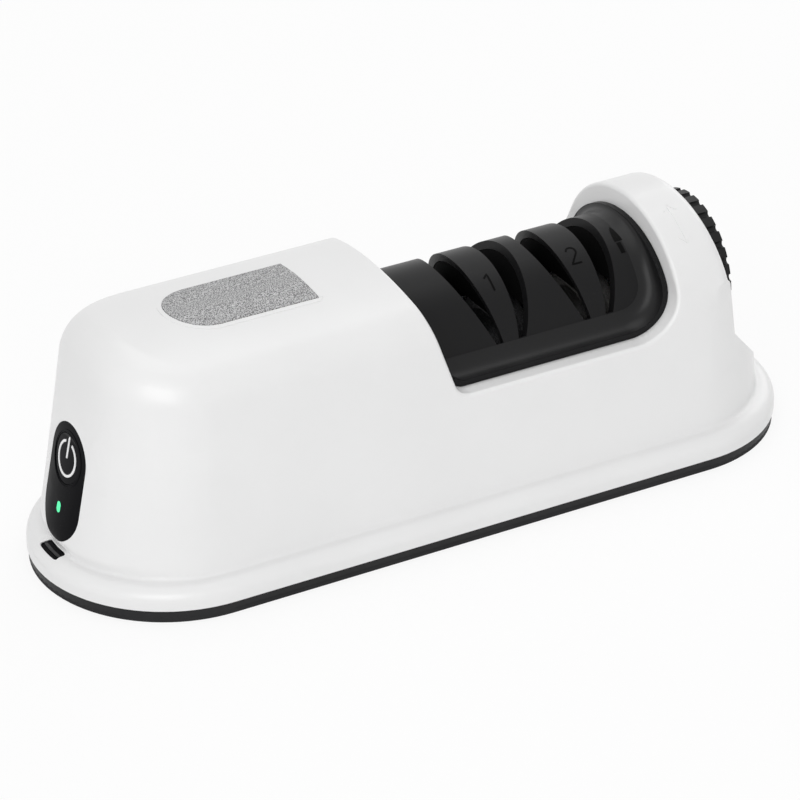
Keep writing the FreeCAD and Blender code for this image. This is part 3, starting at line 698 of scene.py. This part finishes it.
@dataclass(frozen=True)
class Softbox:
    """A square soft lamp: its place and side in metres, and its power in watts."""

    name: str
    place: Place
    side: float
    watts: float

    def hang(self, target: Vector) -> None:
        """Hangs the lamp so that it faces a point.

        Args:
            target: The point.
        """
        data = bpy.data.lights.new(self.name, "AREA")
        data.energy = self.watts
        data.size = self.side
        place = Vector(self.place)
        lamp = bpy.data.objects.new(self.name, data)
        lamp.location = place
        lamp.rotation_euler = (target - place).to_track_quat("-Z", "Y").to_euler()
        bpy.context.scene.collection.objects.link(lamp)


@dataclass
class Studio:
    """Camera, lamps, floor and backdrop."""

    target: Vector = field(default_factory=lambda: Vector((-2.951, 0.0, 23.418)) * MM)
    azimuth: float = -29.557
    elevation: float = 29.767
    distance: float = 1.070
    focal: float = 192.852
    sensor: float = 36.0
    nearest: float = 0.01
    lamps: tuple[Softbox, ...] = (Softbox("key", (-0.6, -0.8, 0.55), 0.7, 4.1),
                                  Softbox("overhead", (0.1, 0.2, 1.1), 0.9, 2.6),
                                  Softbox("far_side", (0.8, 0.5, 0.5), 0.6, 1.3))
    soft: float = 0.56
    floor_tone: Colour = (0.92, 0.92, 0.92)
    floor_roughness: float = 0.9
    floor_glow: float = 0.88
    floor_reach: float = 3.0
    floor_drop: float = 0.0001

    def direction(self) -> Vector:
        """Finds the way from the target to the camera.

        Returns:
            The direction, one unit long.
        """
        around, up = math.radians(self.azimuth), math.radians(self.elevation)
        level = math.cos(up)
        return Vector((math.sin(around) * level, -math.cos(around) * level, math.sin(up)))

    def camera(self) -> None:
        """Places the camera at the photograph's angle."""
        data = bpy.data.cameras.new("camera")
        data.lens = self.focal
        data.sensor_width = self.sensor
        data.clip_start = self.nearest
        lens = bpy.data.objects.new("camera", data)
        lens.location = self.target + self.direction() * self.distance
        lens.rotation_euler = (-self.direction()).to_track_quat("-Z", "Y").to_euler()
        bpy.context.scene.collection.objects.link(lens)
        bpy.context.scene.camera = lens

    def world(self) -> None:
        """Lights all round softly, and shows white behind the object."""
        graph = Graph(bpy.data.worlds.new("studio"))
        soft, white = (graph.add("ShaderNodeBackground", {"Color": LIGHT, "Strength": strength})
                       for strength in (self.soft, 1.0))
        mixed = graph.add("ShaderNodeMixShader", {0: graph.seen(), 1: soft, 2: white})
        graph.surface(mixed, "World Output")
        bpy.context.scene.world = graph.owner

    def floor(self) -> None:
        """Lays the pale floor, which keeps a faint contact shadow."""
        shape = bmesh.new()
        bmesh.ops.create_grid(shape, x_segments=1, y_segments=1, size=self.floor_reach)
        plane = mesh_piece("floor", shape, smooth=False)
        plane.location.z = -self.floor_drop
        graph = Graph.of_material("pale_floor")
        graph.set(Base_Color=self.floor_tone, Roughness=self.floor_roughness)
        glow = graph.add("ShaderNodeEmission", {"Color": LIGHT, "Strength": 1.0})
        lit = Signal(graph, graph.shader.outputs[0])
        share = graph.seen() * self.floor_glow
        mixed = graph.add("ShaderNodeMixShader", {0: share, 1: lit, 2: glow})
        graph.surface(mixed, "Material Output")
        plane.data.materials.append(graph.owner)

    def build(self) -> None:
        """Sets up everything that isn't the object."""
        bpy.context.scene.view_settings.view_transform = "Standard"
        self.camera()
        for lamp in self.lamps:
            lamp.hang(self.target)
        self.world()
        self.floor()


# The object


@dataclass
class Part:
    """A sub-assembly: what it is made in, and the nodes that it keeps from the frame."""

    frame: dict
    shop: Workshop
    kept: dict[str, Finish] = field(default_factory=dict)

    def finish(self, piece: bpy.types.Object, finish: Finish, body: str, slot: str,
               *nodes: str) -> None:
        """Dresses a new piece and says what it rides on and stands for.

        Args:
            piece: The piece.
            finish: Its finish.
            body: The body that carries it.
            slot: The record's material slot; not used.
            nodes: The nodes that it replaces.
        """
        self.shop.dress(piece, finish)
        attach(piece, body)
        if nodes:
            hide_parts(*nodes)
        LOG.info("%s: %s, made, %s, on %s", type(self).__name__, piece.name, finish.name.lower(),
                 body)

    def build(self) -> None:
        """Gives each kept node its finish; a sub-assembly adds its own pieces."""
        for node, finish in self.kept.items():
            self.shop.dress(self.frame["nodes"][node], finish)
            LOG.info("%s: %s, kept, %s", type(self).__name__, node, finish.name.lower())


@dataclass
class Casing(Part):
    """The white moulding and everything fixed to it."""

    kept: dict[str, Finish] = field(default_factory=lambda: {
        "base_plate": Finish.BASE, "rubber_feet": Finish.RUBBER_AND_SHADOW, "base_screws": Finish.STEEL,
        "grip_pad": Finish.PAD})
    lean: Lean = field(default_factory=Lean)
    axis: float = 40.2
    end_middle: float = 68.0
    # The painted shadow band under the base's edge: its outer and inner radius, its low and high
    # levels and its rounded edge, in millimetres.
    shadow_band_radius: float = 34.6
    shadow_band_inner: float = 30.5
    shadow_band_low: float = 0.15
    shadow_band_high: float = 1.6
    shadow_band_edge: float = 0.3
    end_steps: int = 48
    pad_right: float = -31.0
    pad_middle: float = -57.2
    pad_half: float = 9.8
    lip_out: float = 0.75
    lip_wide: float = 1.2
    lip_lift: float = 0.14
    lip_corner: float = 1.0
    lip_steps: int = 40
    mark_middle: Flat = (68.6, 56.0)
    mark_sweep: float = 13.0
    mark_lift: float = 0.16
    mark_wide: float = 0.6
    mark_steps: int = 12
    mark_reach: float = 0.06
    barb: Flat = (1.7, 4.0)

    def build(self) -> None:
        """Leans the moulding's end wall and raises the turning mark on the collar."""
        super().build()
        skin = self.lean.copy(self.frame["nodes"]["housing_shell"], "housing_skin")
        self.finish(skin, Finish.SHELL, "housing", "white_shell", "housing_shell")
        # A near-black band under the base's edge: painted shadow in the gap between the plate and
        # the floor.
        self.finish(self.shadow_band(), Finish.RUBBER_AND_SHADOW, "housing", "black_rubber")
        tree = surface_of(skin)
        self.finish(self.pad_lip(tree), Finish.SHELL, "housing", "white_shell")
        self.turning_mark(tree)

    def pad_lip(self, tree: BVHTree) -> bpy.types.Object:
        """The soft raised lip round the grip pad.

        Args:
            tree: The moulding's surface.

        Returns:
            The lip, as one closed band.
        """
        def drape(x: float, y: float) -> tuple[Vector, Vector]:
            """The roof over a point of the plan."""
            start = Vector((x * MM, y * MM, ABOVE))
            return tree.ray_cast(start, Vector((0, 0, -1)))[:2]

        half = self.pad_half + self.lip_out
        right = self.pad_right + self.lip_out
        cut = self.lip_corner
        path = [(right, -half + cut), (right, half - cut), (right - cut, half)]
        path += arc(half, 90, 270, self.lip_steps, (self.pad_middle, 0.0))
        path += [(right - cut, -half)]
        widths = [self.lip_wide] * len(path)
        return ribbon("pad_lip", path, widths, drape, self.lip_lift, closed=True)

    def shadow_band(self) -> bpy.types.Object:
        """The near-black band round the base's lower edge, which fills the chamfer and the gap
        under the plate as painted shadow.

        Returns:
            The painted shadow band, as one closed band.
        """
        low, high, edge = self.shadow_band_low, self.shadow_band_high, self.shadow_band_edge
        inner, outer, steps = self.shadow_band_inner, self.shadow_band_radius, self.end_steps
        shape = bmesh.new()
        rings = []
        for radius, height in ((inner, low), (outer - edge, low), (outer, low + edge),
                               (outer, high), (inner, high)):
            left = arc(radius, 90, 270, steps, (-self.end_middle, 0.0))
            right = arc(radius, -90, 90, steps, (self.end_middle, 0.0))
            rings.append([shape.verts.new(Vector((x, y, height)) * MM) for x, y in left + right])
        join_rings(shape, rings, closed=True)
        return mesh_piece("base_sole", shape)

    def turning_mark(self, tree: BVHTree) -> None:
        """Raises a two-headed arrow that says that the knob turns.

        Args:
            tree: The moulding's surface.
        """
        def drape(x: float, turn: float) -> tuple[Vector, Vector]:
            """Finds a place on the collar's outer face.

            Args:
                x: The length along X, in millimetres.
                turn: The turn round the axis, in degrees.

            Returns:
                The place and the face's normal.
            """
            out = Vector((0.0, -math.cos(math.radians(turn)), math.sin(math.radians(turn))))
            start = Vector((x * MM, 0.0, self.axis * MM)) + out * self.mark_reach
            return tree.ray_cast(start, -out)[:2]

        x, middle = self.mark_middle
        steps = self.mark_steps
        turns = [middle + self.mark_sweep * (n / steps * 2 - 1) for n in range(steps + 1)]
        shaft = [(x, turn) for turn in turns]
        widths = [self.mark_wide] * len(shaft)
        strokes = [ribbon("turn_mark_line", shaft, widths, drape, self.mark_lift)]
        for n, (turn, way) in enumerate(((turns[0], 1), (turns[-1], -1))):
            for side in (-1, 1):
                across, along = self.barb
                line = [(x + side * across, turn + way * along), (x, turn)]
                name = f"turn_mark_barb_{n}_{'left' if side < 0 else 'right'}"
                strokes.append(ribbon(name, line, widths[:2], drape, self.mark_lift))
        for stroke in strokes:
            self.finish(stroke, Finish.SHELL, "housing", "white_shell")


@dataclass(frozen=True)
class Fence:
    """A wall beside a slot: its X from the stage's middle at its foot and top, and its side."""

    label: str
    foot: float
    top: float
    side: int


@dataclass
class Hood(Part):
    """The slotted black cover over the wheels."""

    kept: dict[str, Finish] = field(default_factory=lambda: {"drum_cover": Finish.HOOD})
    radius: float = 18.7
    inner: float = 16.6
    axis: float = 40.2
    skirt_top: float = 39.25
    skirt_half: float = 23.3
    skirt_rise: float = 19.8
    end_face: float = 60.15
    corner: float = 10.35
    face_foot: float = -1.7
    face_height: float = 37.6
    face_gap: float = 0.8
    rake: float = 18.9
    flare_left: float = -4.2
    flare_high: float = 4.2
    flare_knee: float = 0.15
    flare_skin: float = 0.02
    flare_root: float = 0.5
    flare_steps: int = 8
    side_steps: int = 14
    corner_steps: int = 12
    arch_steps: int = 24
    stages: Flat = (18.6, 43.8)
    slot_foot: float = 41.3
    fence_low: float = 49.6
    fence_skin: float = 0.05
    fence_thick: float = 0.7
    fence_steps: int = 10
    walls: tuple[Fence, ...] = (Fence("fore_left", -3.5, -12.7, -1),
                                Fence("fore_right", -2.1, -6.7, 1),
                                Fence("aft_left", 1.7, 1.7, -1), Fence("aft_right", 3.2, 8.3, 1))
    one_spot: Flat = (16.9, 19.0)
    two_spot: Flat = (41.5, 20.2)
    knife_spot: Flat = (55.2, 21.4)
    digit_wide: float = 0.5
    print_lift: float = 0.06

    def build(self) -> None:
        """Adds the flare, the inner fences and the printed marks."""
        super().build()
        self.finish(self.flare(), Finish.FLARE, "housing", "black_moulding")
        # The guide walls' near-black finish is painted shade inside the slots.
        for piece in self.fences():
            self.finish(piece, Finish.FENCE_SHADE, "housing", "black_moulding")
        for piece in self.marks():
            self.finish(piece, Finish.PRINT, "housing", "black_gloss")

    def drape(self, x: float, run: float) -> tuple[Vector, Vector]:
        """Finds a place on the hood's round face.

        Args:
            x: The length along X, in millimetres.
            run: The way round the face from the axis's height, in millimetres.

        Returns:
            The place and the face's normal.
        """
        turn = run / self.radius
        out = Vector((0.0, -math.cos(turn), math.sin(turn)))
        return Vector((x * MM, 0.0, self.axis * MM)) + out * self.radius * MM, out

    def half_width(self, height: float) -> float:
        """Half the hood's width at a height; under the axis its sides go straight down."""
        return math.sqrt(self.radius ** 2 - max(0.0, height - self.axis) ** 2)

    def flare_stations(self) -> list[tuple[Vector, Vector, Vector, float]]:
        """The corner between hood and skirt, from the front's left end to the back's.

        Returns:
            For each station the corner, the hood's and the skirt's normals and the skirt's reach.
        """
        front = []
        left, bend = self.flare_left, self.end_face - self.corner
        for n in range(self.side_steps + 1):
            x = left + (bend - left) * n / self.side_steps
            front.append((x, self.skirt_top, Vector((0, 0, 1))))
        for n in range(1, self.corner_steps + 1):
            turn = math.radians(90 * n / self.corner_steps)
            front.append((bend + self.corner * math.sin(turn),
                          self.skirt_top + self.corner * (1 - math.cos(turn)),
                          Vector((-math.sin(turn), 0, math.cos(turn)))))
        stations = []
        for x, z, skirt in front:
            stations.append(self.station(Vector((x, -self.half_width(z), z)), skirt))
        start = math.atan2(front[-1][1] - self.axis, -stations[-1][0].y)
        for n in range(1, self.arch_steps + 1):
            turn = start + (math.pi - 2 * start) * n / self.arch_steps
            corner = Vector((self.end_face, -self.radius * math.cos(turn),
                             self.axis + self.radius * math.sin(turn)))
            stations.append(self.station(corner, Vector((-1, 0, 0))))
        for x, z, skirt in front[-2::-1]:
            stations.append(self.station(Vector((x, self.half_width(z), z)), skirt))
        return stations

    def station(self, corner: Vector, skirt: Vector) -> tuple[Vector, Vector, Vector, float]:
        """One station of the flare.

        Args:
            corner: The corner's point.
            skirt: The skirt's normal there.

        Returns:
            The corner, the two normals and the reach of the flare over the skirt.
        """
        over = max(0.0, corner.z - self.axis)
        hood = Vector((0, corner.y, over)).normalized()
        turn = math.atan2(over, abs(corner.y))
        rim = 1 / math.hypot(math.cos(turn) / self.skirt_half, math.sin(turn) / self.skirt_rise)
        return corner, hood, skirt, rim - self.radius

    def flare(self) -> bpy.types.Object:
        """The concave sweep from the hood's face to the skirt's rim.

        Returns:
            The sweep, as one closed band.
        """
        shape = bmesh.new()
        rings = []
        steps, root = self.flare_steps, self.flare_root
        for corner, hood, skirt, reach in self.flare_stations():
            up = (skirt - hood * skirt.dot(hood)).normalized()
            out = (hood - skirt * hood.dot(skirt)).normalized()
            high = corner + up * self.flare_high
            lean = max(0.0, high.z - self.axis)
            grow = self.radius / math.hypot(high.y, lean)
            high.y *= grow
            if lean > 0:
                high.z = self.axis + lean * grow
            high += hood * self.flare_skin
            low = corner + out * reach + skirt * self.flare_skin
            knee = corner + (hood + skirt) * self.flare_knee
            ring = []
            for n in range(steps + 1):
                t = n / steps
                ring.append(high * (1 - t) ** 2 + knee * 2 * t * (1 - t) + low * t * t)
            ring += [low - skirt * root, corner - (hood + skirt) * root, high - hood * root]
            rings.append([shape.verts.new(self.raked(point) * MM) for point in ring])
        join_rings(shape, rings, closed=False)
        return mesh_piece("hood_flare", shape)

    def raked(self, point: Vector) -> Vector:
        """Keeps a point just inside the leaning white face at the left end."""
        back = (point.z - self.face_height) * math.tan(math.radians(self.rake))
        return Vector((max(point.x, self.face_foot - back - self.face_gap), point.y, point.z))

    def fences(self) -> list[bpy.types.Object]:
        """The thin walls under the hood that guide a blade, one each side of a slot.

        Returns:
            The walls, stage by stage.
        """
        half = math.sqrt(self.inner ** 2 - (self.fence_low - self.axis) ** 2)
        rim = [half * (n / self.fence_steps * 2 - 1) for n in range(self.fence_steps + 1)]
        outline = [(y, self.axis + math.sqrt(self.inner ** 2 - y * y)) for y in rim]
        pieces = []
        for count, stage in enumerate(self.stages, start=1):
            for wall in self.walls:
                slope = (wall.top - wall.foot) / (self.axis + self.radius - self.slot_foot)
                shape = bmesh.new()
                rings = []
                for shift in (self.fence_skin, self.fence_thick):
                    near = stage + wall.foot + wall.side * shift
                    rings.append([shape.verts.new(Vector((
                        near + slope * (z - self.slot_foot), y, z)) * MM) for y, z in outline])
                join_rings(shape, rings, closed=False)
                name = f"slot_fence_{count}_{wall.label}"
                pieces.append(mesh_piece(name, shape, smooth=False))
        return pieces

    def marks(self) -> list[bpy.types.Object]:
        """The printed stage numbers and the knife sign.

        Returns:
            The strokes.
        """
        one = [(-1.0, 1.4), (0.25, 2.5), (0.25, -2.5)]
        two = arc(1.3, 165, -35, 10, (0.0, 1.2)) + [(-1.3, -2.4), (-0.6, -2.4), (1.45, -2.4)]
        blade = [(0.2, 4.4), (0.1, 3.4), (0.0, 1.6), (0.0, 0.0), (0.0, -0.6)]
        handle = [(-0.35, -1.0), (-0.35, -4.2)]
        edge = [(2.2, 3.6), (2.2, -3.6)]
        pieces = []
        for name, path, widths, spot in (
                ("stage_mark_one", one, [self.digit_wide] * len(one), self.one_spot),
                ("stage_mark_two", two, [self.digit_wide] * len(two), self.two_spot),
                ("knife_mark_blade", blade, [0.2, 1.1, 1.8, 2.2, 2.2], self.knife_spot),
                ("knife_mark_handle", handle, [1.2, 1.2], self.knife_spot),
                ("knife_mark_guide", edge, [0.45, 0.45], self.knife_spot)):
            placed = [(spot[0] + x, spot[1] + run) for x, run in path]
            pieces.append(ribbon(name, placed, widths, self.drape, self.print_lift))
        return pieces


@dataclass
class Controls(Part):
    """The panel on the end wall, its button, its lens and the charging port."""

    kept: dict[str, Finish] = field(default_factory=lambda: {
        "control_board": Finish.BOARD, "tact_switch": Finish.INNER})
    lean: Lean = field(default_factory=Lean)
    switch_side: float = -93.6
    button_height: float = 33.2
    ring_radius: float = 4.25
    ring_gap: float = 22.0
    ring_steps: int = 44
    stroke: float = 0.62
    bar_heights: tuple[float, ...] = (0.1, 2.0, 4.0, 5.6)
    print_lift: float = 0.05
    rim_radius: float = 6.85
    rim_wide: float = 0.35
    rim_lift: float = 0.12
    rim_points: int = 48
    port_half: float = 3.3
    port_radius: float = 1.6
    port_run: float = 0.3
    port_round: int = 12
    port_sides: int = 8
    surround: tuple[Flat, ...] = (
        (0.0, -0.6), (0.0, -0.03), (0.06, 0.05), (0.4, 0.05), (0.8, 0.05), (1.2, 0.05),
        (1.6, 0.05), (2.0, 0.05), (2.4, 0.05), (2.9, 0.0), (2.9, -0.6))
    well: tuple[Flat, ...] = ((0.02, -1.4), (0.02, -0.35))
    tongue: tuple[Flat, ...] = ((-1.2, -0.4), (-1.2, -0.15))
    end_middle: float = -68.0
    flange_top: float = 9.2
    flange_flat: float = 31.4
    flange_round: float = 3.6
    cove_radius: float = 1.2
    wall_foot: float = 29.83

    def build(self) -> None:
        """Leans the panel with its wall, prints the power sign and fits the port's mouth."""
        super().build()
        nodes = self.frame["nodes"]
        panel = self.lean.copy(nodes["control_panel"], "panel_face")
        self.finish(panel, Finish.PANEL, "housing", "black_gloss", "control_panel")
        cap = self.lean.copy(nodes["power_button"], "button_cap", self.switch_side)
        self.finish(cap, Finish.CAP, "button", "black_gloss", "power_button")
        lens = self.lean.copy(nodes["status_lens"], "lit_window", self.switch_side)
        self.finish(lens, Finish.LAMP, "housing", "green_lens", "status_lens")
        on_cap, on_panel = self.drape_of(cap), self.drape_of(panel)
        middle = (0.0, self.button_height)
        gap = self.ring_gap
        ring = arc(self.ring_radius, 90 + gap, 450 - gap, self.ring_steps, middle)
        bar = [(0.0, self.button_height + z) for z in self.bar_heights]
        for name, line in (("power_ring", ring), ("power_bar", bar)):
            sign = ribbon(name, line, [self.stroke] * len(line), on_cap, self.print_lift)
            self.finish(sign, Finish.SYMBOL, "button", "white_shell")
        count = self.rim_points
        rim = arc(self.rim_radius, 0, 360 - 360 / count, count - 1, middle)
        lip = ribbon("button_rim", rim, [self.rim_wide] * count, on_panel, self.rim_lift,
                     closed=True)
        self.finish(lip, Finish.PANEL, "housing", "black_gloss")
        self.port()

    @staticmethod
    def drape_of(piece: bpy.types.Object) -> Drape:
        """Finds the end wall's face of a piece at a place across and up.

        Args:
            piece: The leaned piece.

        Returns:
            The function from millimetres across and up to the place and the normal.
        """
        tree = surface_of(piece)

        def drape(across: float, up: float) -> tuple[Vector, Vector]:
            """The face at a place; across runs to the viewer's right, which is -Y."""
            start = Vector((-BESIDE, -across * MM, up * MM))
            return tree.ray_cast(start, Vector((1, 0, 0)))[:2]

        return drape

    def flange_point(self, along: float, run: float, height: float) -> Vector:
        """A point over the flange's end, whose profile is cove, flat top and round shoulder.

        Args:
            along: The way round the end, in millimetres.
            run: The way out and down the profile from the top's outer edge.
            height: The distance over the surface.

        Returns:
            The point, leaned with the wall.
        """
        flat = self.flange_flat - self.cove_radius - self.wall_foot
        cove = self.cove_radius * math.pi / 2
        if run > 0:
            turn = min(run / self.flange_round, math.pi / 2)
            spot = (self.flange_flat + self.flange_round * math.sin(turn),
                    self.flange_top - self.flange_round * (1 - math.cos(turn))
                    - max(0.0, run - self.flange_round * math.pi / 2))
            out = (math.sin(turn), math.cos(turn))
        elif run > -flat:
            spot, out = (self.flange_flat + run, self.flange_top), (0.0, 1.0)
        else:
            turn = min((-flat - run) / self.cove_radius, math.pi / 2)
            spot = (self.wall_foot + self.cove_radius * (1 - math.sin(turn)),
                    self.flange_top + self.cove_radius * (1 - math.cos(turn))
                    + max(0.0, -flat - run - cove))
            out = (math.sin(turn), math.cos(turn))
        radius, level = spot[0] + out[0] * height, spot[1] + out[1] * height
        turn = along / self.flange_flat
        point = Vector((self.end_middle - radius * math.cos(turn), -radius * math.sin(turn), level))
        return self.lean.moved(point * MM)

    def port_loop(self, shape: bmesh.types.BMesh, grow: float,
                  height: float) -> list[bmesh.types.BMVert]:
        """A rounded slot's outline on the flange.

        Args:
            shape: The mesh that takes the vertices.
            grow: How far the outline lies outside the port's own.
            height: The distance over the surface.

        Returns:
            The loop's vertices.
        """
        loop = []
        for side in (1, -1):
            for n in range(self.port_round + 1):
                turn = math.radians(-90 + 180 * n / self.port_round)
                along = side * (self.port_half + (self.port_radius + grow) * math.cos(turn))
                across = side * (self.port_radius + grow) * math.sin(turn)
                loop.append((along, across))
            for n in range(1, self.port_sides):
                along = side * self.port_half * (1 - 2 * n / self.port_sides)
                loop.append((along, side * (self.port_radius + grow)))
        return [shape.verts.new(self.flange_point(along, self.port_run + across, height))
                for along, across in loop]

    def port(self) -> None:
        """Builds the charging port: its well, the moulded surround and the tongue."""
        for name, steps, closed, finish, slot, nodes in (
                ("port_well", self.well, False, Finish.CAP, "black_gloss", ["usb_port"]),
                ("port_surround", self.surround, True, Finish.SHELL, "white_shell", []),
                ("port_tongue", self.tongue, False, Finish.INNER, "black_gloss", [])):
            shape = bmesh.new()
            rings = [self.port_loop(shape, grow, height) for grow, height in steps]
            join_rings(shape, rings, closed)
            self.finish(mesh_piece(name, shape), finish, "housing", slot, *nodes)


@dataclass
class Drive(Part):
    """Wheels, shaft, gears, motor and cell."""

    kept: dict[str, Finish] = field(default_factory=lambda: {
        "battery_cell": Finish.WRAP, "battery_cradle": Finish.INNER, "motor_bracket": Finish.STEEL,
        "motor": Finish.STEEL, "motor_screws": Finish.STEEL, "bush_left": Finish.BRASS,
        "bush_right": Finish.BRASS, "wheel_tray": Finish.INNER, "drive_shaft": Finish.STEEL,
        "driven_gear": Finish.NYLON, "motor_shaft": Finish.STEEL, "motor_pinion": Finish.BRASS,
        "coarse_wheel_fore": Finish.COARSE, "coarse_wheel_aft": Finish.COARSE,
        "fine_wheel_fore": Finish.FINE, "fine_wheel_aft": Finish.FINE,
        "shaft_sleeves": Finish.STEEL, "shaft_clip": Finish.STEEL})


@dataclass
class Knob(Part):
    """The fluted lock knob."""

    kept: dict[str, Finish] = field(default_factory=lambda: {
        "lock_knob": Finish.KNOB, "knob_retainer": Finish.STEEL})


def main() -> None:
    """Builds the studio and every sub-assembly."""
    logging.basicConfig(level=logging.INFO, format="%(message)s")
    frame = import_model()
    Studio().build()
    shop = Workshop()
    for kind in (Casing, Hood, Controls, Drive, Knob):
        kind(frame, shop).build()


if __name__ == "__main__":
    main()
